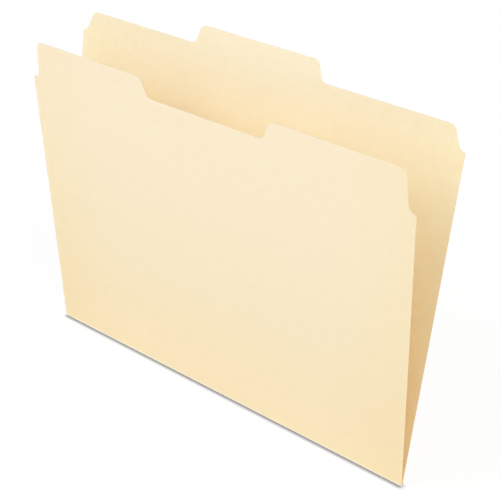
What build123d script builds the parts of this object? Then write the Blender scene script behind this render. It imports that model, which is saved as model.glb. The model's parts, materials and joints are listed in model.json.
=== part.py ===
# File folder of stiff card: one die-cut blank, creased once, standing part-open on its fold.
# +X runs along the fold, +Z is up and the front leaf faces -Y.
# The origin is on the ground, under the middle of the fold.
import os
from math import atan2, cos, degrees, radians, sin, tan

from build123d import *

# Card and fold, in millimetres and degrees
card_thickness = 0.28
fold_inner_radius = 0.25
fold_clearance = 0.05  # between the crease and the hollow lower edge of each leaf
opening_angle = 12.5  # between the two leaves as the folder stands

# Leaves, with heights measured up the leaf from the underside of the fold
folder_width = 295.3
front_height = 220.0
back_height = 229.7  # to the top edge beside the tab
corner_radius = 4.7  # every rounded corner of the die

# Index tab, in the middle of the back leaf's top edge
tab_rise = 12.7
tab_base_width = 98.1
tab_flank_lean = 18.2  # from upright

# Thumb cut, in the front leaf's top edge before the tab
thumb_cut_depth = 12.7
thumb_cut_mouth_width = 99.2
thumb_cut_flank_lean = 20.4

# Shoulders, where each leaf narrows below its top corners
front_shoulder_drop = 25.6
front_shoulder_flat = 0.5
front_shoulder_lean = 4.9
back_shoulder_drop = 13.7
back_shoulder_flat = 0.2
back_shoulder_lean = 23.0

# Derived: the fold's outer radius puts the hinge line this high above the ground
fold_outer_radius = fold_inner_radius + card_thickness
hinge_line = (0, 0, fold_outer_radius)

# Derived: the leaves reach equally far to either side of the fold, so each leans this far from upright
front_reach = front_height - fold_outer_radius
back_reach = back_height + tab_rise - fold_outer_radius
opening_across = back_reach * sin(radians(opening_angle))
opening_along = front_reach + back_reach * cos(radians(opening_angle))
front_lean = degrees(atan2(opening_across, opening_along))
back_lean = opening_angle - front_lean


def leaf_face(height, step_rise, step_width, step_lean, drop, flat, lean):
    """Outline of a leaf, drawn with Y up the leaf from the hinge line.

    step_rise lifts the middle of the top edge into a tab, or sinks it into a cut if negative.
    """
    top = height - fold_outer_radius
    side = folder_width / 2
    ear_foot = side - flat - corner_radius * tan(radians(90 - lean) / 2)
    ear_tip = ear_foot - drop * tan(radians(lean))
    step_edge = step_width / 2
    step_end = step_edge - abs(step_rise) * tan(radians(step_lean))
    right = [
        (side, 0),
        (side, top - drop),
        (ear_foot, top - drop),
        (ear_tip, top),
        (step_edge, top),
        (step_end, top + step_rise),
    ]
    left = [(-x, y) for x, y in reversed(right)]
    right_radii = [0, 0, corner_radius, corner_radius, corner_radius, corner_radius]
    radii = right_radii + right_radii[::-1]
    return make_face(FilletPolyline(*right, *left, radius=radii, close=True))


def leaf_plate(face, across, outward):
    """Card plate on one side of the fold, hollowed at its lower edge to clear the crease."""
    leaf_plane = Plane(origin=hinge_line, x_dir=across, z_dir=outward)
    plate = extrude(leaf_plane.offset(fold_inner_radius) * face, amount=card_thickness)
    sweep_room = Plane(origin=hinge_line, z_dir=(1, 0, 0)) * Cylinder(
        fold_outer_radius + fold_clearance, 2 * folder_width
    )
    return plate - sweep_room


def make_front_leaf():
    face = leaf_face(
        front_height,
        -thumb_cut_depth,
        thumb_cut_mouth_width,
        thumb_cut_flank_lean,
        front_shoulder_drop,
        front_shoulder_flat,
        front_shoulder_lean,
    )
    outward = (0, -cos(radians(front_lean)), -sin(radians(front_lean)))
    return leaf_plate(face, (1, 0, 0), outward)


def make_back_leaf():
    face = leaf_face(
        back_height,
        tab_rise,
        tab_base_width,
        tab_flank_lean,
        back_shoulder_drop,
        back_shoulder_flat,
        back_shoulder_lean,
    )
    outward = (0, cos(radians(back_lean)), -sin(radians(back_lean)))
    return leaf_plate(face, (-1, 0, 0), outward)


def make_fold_crease():
    """Bent strip from the foot of one leaf, under the hinge line, to the foot of the other."""
    first_angle = 180 + front_lean
    swept_angle = 180 - opening_angle
    inner = CenterArc((0, fold_outer_radius), fold_inner_radius, first_angle, swept_angle)
    outer = CenterArc((0, fold_outer_radius), fold_outer_radius, first_angle, swept_angle)
    ends = [Line(inner @ 0, outer @ 0), Line(inner @ 1, outer @ 1)]
    section = make_face([inner, outer, *ends])
    return extrude(Plane.YZ * section, amount=folder_width / 2, both=True)


os.makedirs("parts", exist_ok=True)
export_step(make_front_leaf(), "parts/front_leaf.step")
export_step(make_back_leaf(), "parts/back_leaf.step")
export_step(make_fold_crease(), "parts/fold_crease.step")
print(f"front leaf leans {front_lean:.3f} degrees from upright, back leaf {back_lean:.3f}")
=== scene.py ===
import json
from math import cos, hypot, pi, radians, sin, tan

import bmesh
import bpy
from mathutils import Matrix, Vector


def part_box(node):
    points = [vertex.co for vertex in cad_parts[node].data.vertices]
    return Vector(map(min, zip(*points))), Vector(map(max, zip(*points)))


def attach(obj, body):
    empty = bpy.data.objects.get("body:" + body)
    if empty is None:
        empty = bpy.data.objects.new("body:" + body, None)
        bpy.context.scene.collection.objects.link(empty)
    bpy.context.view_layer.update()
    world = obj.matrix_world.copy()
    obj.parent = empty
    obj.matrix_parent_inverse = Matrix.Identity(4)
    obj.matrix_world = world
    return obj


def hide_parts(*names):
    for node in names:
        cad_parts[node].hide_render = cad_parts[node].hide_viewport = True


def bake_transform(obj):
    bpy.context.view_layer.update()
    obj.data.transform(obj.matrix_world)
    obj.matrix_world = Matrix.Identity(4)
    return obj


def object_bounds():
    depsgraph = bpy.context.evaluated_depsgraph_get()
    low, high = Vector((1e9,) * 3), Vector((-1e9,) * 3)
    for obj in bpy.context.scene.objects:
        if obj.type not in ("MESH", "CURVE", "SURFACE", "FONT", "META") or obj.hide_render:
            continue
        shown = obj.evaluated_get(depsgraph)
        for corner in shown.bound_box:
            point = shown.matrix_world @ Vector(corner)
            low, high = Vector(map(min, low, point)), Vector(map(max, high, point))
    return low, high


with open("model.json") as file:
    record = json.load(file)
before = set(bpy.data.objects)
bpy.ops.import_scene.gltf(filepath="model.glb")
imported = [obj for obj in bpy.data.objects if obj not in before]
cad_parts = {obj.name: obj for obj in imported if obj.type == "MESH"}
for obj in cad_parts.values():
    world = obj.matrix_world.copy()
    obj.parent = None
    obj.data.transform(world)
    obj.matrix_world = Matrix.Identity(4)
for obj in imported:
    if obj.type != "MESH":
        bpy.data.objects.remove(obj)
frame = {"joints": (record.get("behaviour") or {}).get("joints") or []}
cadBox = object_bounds()
print("frame: folder of", [round(1000 * (high - low), 1) for low, high in zip(*cadBox)], "mm")

# The sheet that the whole folder is cut from, in metres
card = {
    "thickness": 0.00028,
    "cornerRadius": 0.0047,                # every rounded corner of the die
    "cornerSteps": 8,
    "edgeRound": 0.00005,                  # the die leaves a cut edge slightly soft
    "edgeSteps": 2,
    "sharpAngle": radians(20),             # a turn steeper than this is shaded as an edge
    "cellSize": 0.0125,                    # largest face on a leaf
    "footRows": (0.0006, 0.0016, 0.004),   # finer rows of faces above the bend
    "cockle": 0.00006,                     # how far the card strays from flat
    "cockleFrom": 0.012,                   # height at which it starts
    "cockleBuild": 0.05,                   # and over which it grows to full
    # Its waves: radians a metre along the fold and up the leaf, and where each begins
    "cockleWaves": ((31, 17, 0.4), (19, -43, 2.1)),
}
joints = {joint["name"]: joint for joint in frame["joints"]}
foldLine = Vector(joints["front_leaf_fold"]["pos_m"])   # the line that both leaves swing about
folderWidth = cadBox[1].x - cadBox[0].x
bendOuter = foldLine.z                                  # the fold rests on the ground
bendInner = bendOuter - card["thickness"]
hair = 1e-6                                             # places closer than this are the same


def leanOf(jointName):
    return radians(90 - joints[jointName]["range_deg"][1])   # a leaf opens until it lies flat


def keepPiece(bm, name, material):
    mesh = bpy.data.meshes.new(name)
    bm.to_mesh(mesh)
    bm.free()
    mesh.shade_smooth()
    mesh.set_sharp_from_angle(angle=card["sharpAngle"])
    mesh.materials.append(material)
    piece = bpy.data.objects.new(name, mesh)
    bpy.context.scene.collection.objects.link(piece)
    print(name, "has", len(mesh.polygons), "faces")
    return piece


# Shader maths

class Wire:
    def __init__(self, tree, socket=None):
        self.tree = tree
        self.socket = socket

    def node(self, kind, settings=None, sockets=None, output=None):
        made = self.tree.nodes.new(kind)
        for key, value in (settings or {}).items():
            setattr(made, key, value)
        for key, value in (sockets or {}).items():
            entry = next(end for end in made.inputs if end.enabled and key in (end.name, end.identifier))
            if isinstance(value, Wire):
                self.tree.links.new(value.socket, entry)
            else:
                entry.default_value = value
        ends = [end for end in made.outputs if end.enabled and output in (None, end.name)]
        return Wire(self.tree, ends[0] if ends else None)

    def maths(self, operation, first, second):
        values = {"Value": first, "Value_001": second}
        return self.node("ShaderNodeMath", {"operation": operation}, values)

    def __add__(self, other):
        return self.maths("ADD", self, other)

    def __radd__(self, other):
        return self.maths("ADD", other, self)

    def __sub__(self, other):
        return self.maths("SUBTRACT", self, other)

    def __rsub__(self, other):
        return self.maths("SUBTRACT", other, self)

    def __mul__(self, other):
        return self.maths("MULTIPLY", self, other)

    def __rmul__(self, other):
        return self.maths("MULTIPLY", other, self)

    def __pow__(self, other):
        return self.maths("POWER", self, other)

    def ramp(self, low, high):
        sockets = {"Value": self, "From Min": low, "From Max": high}
        return self.node("ShaderNodeMapRange", {"interpolation_type": "SMOOTHSTEP"}, sockets)

    def tint(self, start, end):
        sockets = {"Factor": self, "A": start, "B": end}
        return self.node("ShaderNodeMix", {"data_type": "RGBA"}, sockets)

    def dye(self, start, stain):
        sockets = {"Factor": self, "A": start, "B": stain}
        return self.node("ShaderNodeMix", {"data_type": "RGBA", "blend_type": "MULTIPLY"}, sockets)

    def feed(self, shader, name):
        self.tree.links.new(self.socket, shader.inputs[name])

    def straightSight(self):   # 1 for what the camera sees, also in a gloss or through glass
        rays = self.node("ShaderNodeLightPath").socket.node.outputs
        kinds = ("Camera", "Glossy", "Transmission")
        direct, glossy, through = (Wire(self.tree, rays[f"Is {kind} Ray"]) for kind in kinds)
        return direct + glossy + through


# Manila card: pale buff, uncoated, with a cloudy body, a fine grain along the fold and a few fibres

manila = {
    "body": (0.95, 0.826, 0.611, 1),
    "inner": (0.93, 0.855, 0.645, 1),   # painted light: the side folded in is made paler and yellower against the bounce between the leaves
    "thin": (0.92, 0.80, 0.58, 1),      # where the furnish is thin
    "fibre": (0.83, 0.65, 0.42, 1),
    "cut": (0.74, 0.61, 0.43, 1),       # bare fibres at a cut edge, darkened further as painted shade against the lamps
    "cutShare": 0.8,
    "crushedAndHighlight": (0.96, 0.88, 0.70, 1),   # fibres broken along the fold, and a painted highlight on its bend
    "crushedEven": 0.4,                 # all along it, and the rest in patches of the grain
    "crushedSpan": (0.30, 0.62),
    "foldReach": 0.0026,                # how far the crushed fibres and painted highlight run up a leaf
    "paintedFoldShade": (0.98, 0.955, 0.875, 1),  # painted shade: the card is made deeper in colour towards the fold
    "paintedFoldShadeInside": (1.02, 0.94, 0.79, 1),      # painted shade, deeper still inside the folder
    "paintedFoldShadeReach": 0.19,                # how far up a leaf that painted shade runs
    "paintedFoldShadeInsideFurther": 0.05,                # and how much further inside
    "paintedEndShade": (1.0, 0.98, 0.91, 1),      # and painted shade makes it deeper at its two ends,
    "paintedEndShadeFrom": 0.07,                  # which starts this far from the middle
    "paintedEndShadeBy": 0.15,
    "cloudSize": 0.007,
    "cloudSpan": (0.36, 0.68),          # the part of the pattern that shows
    "cloudShare": 0.38,                 # of the thin colour
    "cloudRelief": 0.8,
    "grainSize": 0.00045,
    "grainStretch": 3.5,                # along the fold
    "grainSpan": (0.3, 0.7),
    "grainShare": 0.25,
    "grainRelief": 0.6,
    "fibreSize": 0.0011,
    "fibreStretch": 6.0,
    "fibreTurns": (0.5, -0.7),          # fibres lie where two slanting grains cross
    "fibreSpan": (0.40, 0.46),
    "fibreShare": 0.15,
    "fibreRelief": 0.3,
    "reliefDepth": 0.00002,
    "reliefStrength": 0.5,
    "gloss": 0.3,
    "roughness": 0.64,
    "roughnessSwing": 0.12,             # with the grain
    "crushedRoughness": 0.1,            # more on crushed fibres
}


def cardFinish(name, crushedAndHighlight):
    material = bpy.data.materials.new(name)
    material.use_nodes = True
    shader = material.node_tree.nodes["Principled BSDF"]
    shader.inputs["Specular IOR Level"].default_value = manila["gloss"]
    sheet = Wire(material.node_tree)
    place = sheet.node("ShaderNodeAttribute", {"attribute_name": "leafPlace"}, output="Vector")
    cutEdge = sheet.node("ShaderNodeAttribute", {"attribute_name": "cutEdge"}, output="Fac")
    inside = sheet.node("ShaderNodeAttribute", {"attribute_name": "inside"}, output="Fac")
    places = sheet.node("ShaderNodeSeparateXYZ", sockets={"Vector": place}).socket.node.outputs
    fromMiddle = Wire(sheet.tree, places["X"])
    upLeaf = Wire(sheet.tree, places["Z"])

    def cloud(size, detail, stretch=1.0, turn=0.0):
        along = {"Vector": place, "Scale": (1 / stretch, 1, 1), "Rotation": (0, turn, 0)}
        at = sheet.node("ShaderNodeMapping", sockets=along)
        pattern = {"Vector": at, "Scale": 1 / size, "Detail": detail}
        return sheet.node("ShaderNodeTexNoise", sockets=pattern, output="Fac")

    clouds = cloud(manila["cloudSize"], detail=3.0)
    grain = cloud(manila["grainSize"], detail=2.0, stretch=manila["grainStretch"])
    rising, falling = (cloud(manila["fibreSize"], detail=1.0, stretch=manila["fibreStretch"], turn=turn)
                       for turn in manila["fibreTurns"])
    fibres = (rising * falling).ramp(*manila["fibreSpan"])

    even = manila["crushedEven"]
    patches = even + (1 - even) * grain.ramp(*manila["crushedSpan"])
    folded = crushedAndHighlight * (1 - upLeaf.ramp(0.0, manila["foldReach"])) * patches
    foldShadeMask = 1 - upLeaf.ramp(0.0, manila["paintedFoldShadeReach"] + inside * manila["paintedFoldShadeInsideFurther"])

    # painted light: the inner face gets a paler, yellower colour than the outer face
    ground = inside.tint(manila["body"], manila["inner"])
    thinness = (clouds.ramp(*manila["cloudSpan"]) * manila["cloudShare"]
                + grain.ramp(*manila["grainSpan"]) * manila["grainShare"])
    colour = thinness.tint(ground, manila["thin"])
    colour = (fibres * manila["fibreShare"]).tint(colour, manila["fibre"])
    # painted shade: deeper colour towards the fold, more so inside the folder
    colour = foldShadeMask.dye(colour, inside.tint(manila["paintedFoldShade"], manila["paintedFoldShadeInside"]))
    # painted shade: deeper colour towards both ends of the sheet
    endShadeMask = (fromMiddle * fromMiddle).ramp(manila["paintedEndShadeFrom"] ** 2, manila["paintedEndShadeBy"] ** 2)
    colour = endShadeMask.dye(colour, manila["paintedEndShade"])
    # crushed fibres along the fold, partly a painted highlight on the bend
    colour = folded.tint(colour, manila["crushedAndHighlight"])
    # bare fibres at cut edges, darkened further as painted shade so that they show no brighter than the
    # leaf
    colour = (cutEdge * manila["cutShare"]).tint(colour, manila["cut"])
    colour.feed(shader, "Base Color")

    rough = manila["roughness"] + manila["roughnessSwing"] * (grain - 0.5)
    (rough + manila["crushedRoughness"] * folded).feed(shader, "Roughness")
    height = grain * manila["grainRelief"] + clouds * manila["cloudRelief"]
    height = height + fibres * manila["fibreRelief"]
    relief = {"Height": height, "Strength": manila["reliefStrength"], "Distance": manila["reliefDepth"]}
    sheet.node("ShaderNodeBump", sockets=relief).feed(shader, "Normal")
    return material


leafCard = cardFinish("manila card", crushedAndHighlight=0.9)
foldedCard = cardFinish("manila card, folded", crushedAndHighlight=1.0)
print("finishes: two, of one buff card")


# Leaves: one cut outline each, carried round the bend to meet the crease

crease = {
    "halfTurn": radians(30),   # each way from the underside
    "steps": 8,
}
frontLeaf = {
    "name": "front_leaf_card",
    "node": "front_leaf",
    "side": -1,                # the viewer's side of the fold
    "lean": leanOf("front_leaf_fold"),
    "stepRise": -0.0127,       # thumb cut, sunk in the middle of the top edge
    "stepWidth": 0.0992,
    "stepLean": radians(20.4),
    "shoulderDrop": 0.0256,
    "shoulderFlat": 0.0005,
    "shoulderLean": radians(4.9),
}
backLeaf = {
    "name": "back_leaf_card",
    "node": "back_leaf",
    "side": 1,
    "lean": leanOf("back_leaf_fold"),
    "stepRise": 0.0127,        # index tab, raised in the middle of the top edge
    "stepWidth": 0.0981,
    "stepLean": radians(18.2),
    "shoulderDrop": 0.0137,
    "shoulderFlat": 0.0002,
    "shoulderLean": radians(23.0),
}


def cutOutline(bm, leaf):
    tip = (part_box(leaf["node"])[1].z - foldLine.z + bendInner * sin(leaf["lean"])) / cos(leaf["lean"])
    top = tip - max(leaf["stepRise"], 0)
    side = folderWidth / 2
    shoulder = top - leaf["shoulderDrop"]
    earRound = card["cornerRadius"] * tan((pi / 2 - leaf["shoulderLean"]) / 2)
    stepRound = card["cornerRadius"] * tan((pi / 2 - leaf["stepLean"]) / 2)
    earFoot = side - leaf["shoulderFlat"] - earRound
    earTip = earFoot - leaf["shoulderDrop"] * tan(leaf["shoulderLean"])
    stepEdge = leaf["stepWidth"] / 2
    stepEnd = stepEdge - abs(leaf["stepRise"]) * tan(leaf["stepLean"])
    right = [
        (side, 0, 0),
        (side, shoulder, 0),
        (earFoot, shoulder, earRound),
        (earTip, top, earRound),
        (stepEdge, top, stepRound),
        (stepEnd, top + leaf["stepRise"], stepRound),
    ]
    corners = right + [(-x, up, rounding) for x, up, rounding in reversed(right)]
    plane = leaf["side"] * bendInner
    points = [bm.verts.new((x, plane, up)) for x, up, rounding in corners]
    bm.faces.new(points)
    for point, (x, up, rounding) in zip(points, corners):
        if rounding:
            bmesh.ops.bevel(bm, geom=[point], affect="VERTICES", offset=rounding,
                            segments=card["cornerSteps"], profile=0.5, material=-1)
    return tip


def ruleCells(bm, tip):
    along = Vector((1, 0, 0))
    up = Vector((0, 0, 1))
    columns = round(folderWidth / card["cellSize"])
    rows = round(tip / card["cellSize"])
    cuts = [(along, folderWidth * (i / columns - 0.5)) for i in range(1, columns)]
    cuts += [(up, tip * i / rows) for i in range(1, rows)]
    cuts += [(up, height) for height in card["footRows"]]
    for direction, distance in cuts:
        bmesh.ops.bisect_plane(bm, geom=bm.verts[:] + bm.edges[:] + bm.faces[:],
                               dist=hair, plane_co=direction * distance, plane_no=direction)


def throughCard(point):
    return abs(point.y) if point.z >= 0 else hypot(point.y, point.z)   # from the fold line, outwards


def thicken(bm, side):
    old = set(bm.verts)
    bmesh.ops.extrude_face_region(bm, geom=bm.faces[:])
    for point in set(bm.verts) - old:
        if point.co.z >= 0:
            point.co.y += side * card["thickness"]
        else:
            point.co.yz *= bendOuter / bendInner
    bmesh.ops.recalc_face_normals(bm, faces=bm.faces[:])


def alongSkin(edge):
    first, second = (throughCard(point.co) for point in edge.verts)
    return abs(first - second) < hair


def softenCut(bm, isCut):
    rims = {face for face in bm.faces if isCut(face)}
    borders = [edge for edge in bm.edges if len(rims.intersection(edge.link_faces)) == 1]
    edges = [edge for edge in borders if alongSkin(edge)]   # not where a leaf meets the crease
    bmesh.ops.bevel(bm, geom=edges, affect="EDGES", offset=card["edgeRound"],
                    segments=card["edgeSteps"], profile=0.5, material=-1)


def notePlaces(bm):
    leafPlace = bm.verts.layers.float_vector.new("leafPlace")
    cutEdge = bm.verts.layers.float.new("cutEdge")
    inside = bm.verts.layers.float.new("inside")
    skin = 0.2 * card["edgeRound"]   # within this of a face, a point is on the face
    for point in bm.verts:
        depth = throughCard(point.co)
        point[leafPlace] = point.co
        point[cutEdge] = float(bendInner + skin < depth < bendOuter - skin)
        point[inside] = float(depth < (bendInner + bendOuter) / 2)


def cockleLeaf(bm):
    for point in bm.verts:
        growth = min(max((point.co.z - card["cockleFrom"]) / card["cockleBuild"], 0), 1)
        waves = [sin(along * point.co.x + up * point.co.z + begin)
                 for along, up, begin in card["cockleWaves"]]
        point.co.y += card["cockle"] * growth * sum(waves) / len(waves)


def makeLeaf(leaf):
    bm = bmesh.new()
    side = leaf["side"]
    tip = cutOutline(bm, leaf)
    ruleCells(bm, tip)
    foot = [edge for edge in bm.edges if all(abs(point.co.z) < hair for point in edge.verts)]
    turn = -side * (pi / 2 - leaf["lean"] - crease["halfTurn"])
    bent = bmesh.ops.spin(bm, geom=foot, cent=(0, 0, 0), axis=(1, 0, 0),
                          angle=turn, steps=crease["steps"])
    lastPoints = [part.co for part in bent["geom_last"] if isinstance(part, bmesh.types.BMVert)]
    lowest = min(point.z / throughCard(point) for point in lastPoints)
    thicken(bm, side)

    def isCut(face):
        depths = [throughCard(point.co) for point in face.verts]
        return max(depths) - min(depths) > 0.5 * card["thickness"]

    def meetsCrease(face):
        slopes = [point.co.z / throughCard(point.co) for point in face.verts]
        return max(slopes) < lowest + 1e-4   # to within rounding

    softenCut(bm, lambda face: isCut(face) and not meetsCrease(face))
    notePlaces(bm)
    cockleLeaf(bm)
    lean = Matrix.Rotation(-side * leaf["lean"], 3, "X")
    bmesh.ops.rotate(bm, verts=bm.verts, cent=(0, 0, 0), matrix=lean)
    bmesh.ops.translate(bm, verts=bm.verts, vec=foldLine)
    piece = keepPiece(bm, leaf["name"], leafCard)
    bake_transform(piece)
    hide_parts(leaf["node"])


makeLeaf(frontLeaf)
makeLeaf(backLeaf)


def makeCrease():
    bm = bmesh.new()
    half = folderWidth / 2
    ends = [(-half, 0, -bendInner), (half, 0, -bendInner), (half, 0, -bendOuter), (-half, 0, -bendOuter)]
    section = bm.faces.new([bm.verts.new(end) for end in ends])
    start = Matrix.Rotation(-crease["halfTurn"], 3, "X")
    bmesh.ops.rotate(bm, verts=bm.verts, cent=(0, 0, 0), matrix=start)
    bmesh.ops.spin(bm, geom=[section], cent=(0, 0, 0), axis=(1, 0, 0),
                   angle=2 * crease["halfTurn"], steps=crease["steps"])
    bmesh.ops.recalc_face_normals(bm, faces=bm.faces[:])
    softenCut(bm, lambda face: abs(face.calc_center_median().x) > half - hair)
    notePlaces(bm)
    bmesh.ops.translate(bm, verts=bm.verts, vec=foldLine)
    piece = keepPiece(bm, "fold_crease_strip", foldedCard)
    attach(piece, "fold_crease")
    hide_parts("fold_crease")


makeCrease()


# Studio: a white floor under a faint sky, and broad lamps on every side

white = (1, 1, 1, 1)
black = (0, 0, 0, 1)
floor = {
    "size": 6.0,
    "drop": 0.00002,           # just under the fold
    "colour": (0.82, 0.82, 0.82, 1),
    "roughness": 0.9,
    "white": 0.80,             # near the folder the camera sees this much plain white,
    "shadow": 0.25,            # and this share of the light that falls there
    "plainFrom": 0.45,         # further out it sees white alone
    "plainBy": 1.1,
    "paintedShadowReach": 0.0036,    # how far the painted shadow line under the fold spreads
    "paintedShadowDepth": 1.9,
    "paintedShadowColour": (0.05, 0.06, 0.1, 1),
}
light = {
    "sky": 0.3,
    "aim": (0.0, 0.0, 0.1),
    "lamps": {                 # place, size across and watts
        "left lamp": ((-0.9, -1.1, 1.5), 1.2, 14.4),
        "right lamp": ((1.2, -0.9, 1.5), 1.2, 14.4),
        "front lamp": ((-0.5, -1.9, 0.9), 1.2, 6.6),
        "left end lamp": ((-1.6, 0.1, 0.55), 0.9, 4.0),
        "right end lamp": ((1.6, 0.1, 0.55), 0.9, 9.0),
        "back lamp": ((0.0, 1.7, 0.5), 0.7, 13.0),
    },
    "bounces": 12,             # between the two leaves
}


def makeFloor():
    bm = bmesh.new()
    bmesh.ops.create_grid(bm, x_segments=1, y_segments=1, size=floor["size"] / 2)
    bmesh.ops.translate(bm, verts=bm.verts, vec=(0, 0, -floor["drop"]))
    material = bpy.data.materials.new("studio floor")
    material.use_nodes = True
    shader = material.node_tree.nodes["Principled BSDF"]
    shader.inputs["Roughness"].default_value = floor["roughness"]
    shader.inputs["Specular IOR Level"].default_value = 0.0
    shader.inputs["Emission Strength"].default_value = 1.0
    ground = Wire(material.node_tree)
    seen = ground.straightSight()
    # painted shadow: ambient occlusion darkens the floor's colour and glow where it meets the folder, as
    # the camera sees it
    reach = {"Distance": floor["paintedShadowReach"]}
    uncovered = ground.node("ShaderNodeAmbientOcclusion", sockets=reach, output="AO")
    openness = uncovered ** floor["paintedShadowDepth"]
    place = ground.node("ShaderNodeTexCoord", output="Object")
    away = ground.node("ShaderNodeVectorMath", {"operation": "LENGTH"}, {"Vector": place}, output="Value")
    near = 1 - away.ramp(floor["plainFrom"], floor["plainBy"])
    colour = seen.tint(floor["colour"], (floor["shadow"] * near).tint(black, floor["colour"]))
    (seen * (1 - openness)).tint(colour, floor["paintedShadowColour"]).feed(shader, "Base Color")
    glow = seen * openness * (1 - (1 - floor["white"]) * near)
    glow.tint(black, white).feed(shader, "Emission Color")
    keepPiece(bm, "studio_floor", material)


def makeSky():
    world = bpy.data.worlds.new("studio sky")
    bpy.context.scene.world = world
    world.use_nodes = True
    tree = world.node_tree
    plain = tree.nodes["Background"]
    plain.inputs["Color"].default_value = white
    plain.inputs["Strength"].default_value = light["sky"]
    sky = Wire(tree)
    backdrop = sky.node("ShaderNodeBackground", sockets={"Strength": 1.0, "Color": white})
    both = sky.node("ShaderNodeMixShader", sockets={
        "Fac": sky.straightSight(), "Shader": Wire(tree, plain.outputs[0]), "Shader_001": backdrop})
    tree.links.new(both.socket, tree.nodes["World Output"].inputs["Surface"])


def makeLamps():
    for name, (place, size, power) in light["lamps"].items():
        lamp = bpy.data.lights.new(name, "AREA")
        lamp.size = size
        lamp.energy = power
        holder = bpy.data.objects.new(name, lamp)
        holder.location = place
        toFolder = Vector(light["aim"]) - holder.location
        holder.rotation_euler = toFolder.to_track_quat("-Z", "Y").to_euler()
        bpy.context.scene.collection.objects.link(holder)
    bpy.context.scene.cycles.diffuse_bounces = light["bounces"]
    bpy.context.scene.cycles.max_bounces = light["bounces"]


makeFloor()
makeSky()
makeLamps()
print("studio: floor, sky and", len(light["lamps"]), "lamps")


# Camera: fitted to the folder's cut edges in a square picture

camera = {
    "azimuth": radians(37.851),
    "elevation": radians(27.941),
    "roll": radians(2.886),
    "distance": 0.75459,
    "aim": (0.02118, -0.00022, 0.11724),
    "lens": 87.27,       # millimetres, as is the sensor's width
    "sensor": 36.0,
    "nearest": 0.01,     # sees nothing closer than this
}


def makeCamera():
    eye = bpy.data.cameras.new("camera")
    eye.sensor_width = camera["sensor"]
    eye.lens = camera["lens"]
    eye.clip_start = camera["nearest"]
    holder = bpy.data.objects.new("camera", eye)
    level = cos(camera["elevation"])
    swing = camera["azimuth"]
    back = Vector((sin(swing) * level, -cos(swing) * level, sin(camera["elevation"])))
    holder.location = Vector(camera["aim"]) + back * camera["distance"]
    turn = (-back).to_track_quat("-Z", "Y").to_matrix() @ Matrix.Rotation(camera["roll"], 3, "Z")
    holder.rotation_euler = turn.to_euler()
    bpy.context.scene.collection.objects.link(holder)
    bpy.context.scene.camera = holder


makeCamera()
bpy.context.scene.view_settings.view_transform = "Standard"
print("camera: set at the picture's angle")
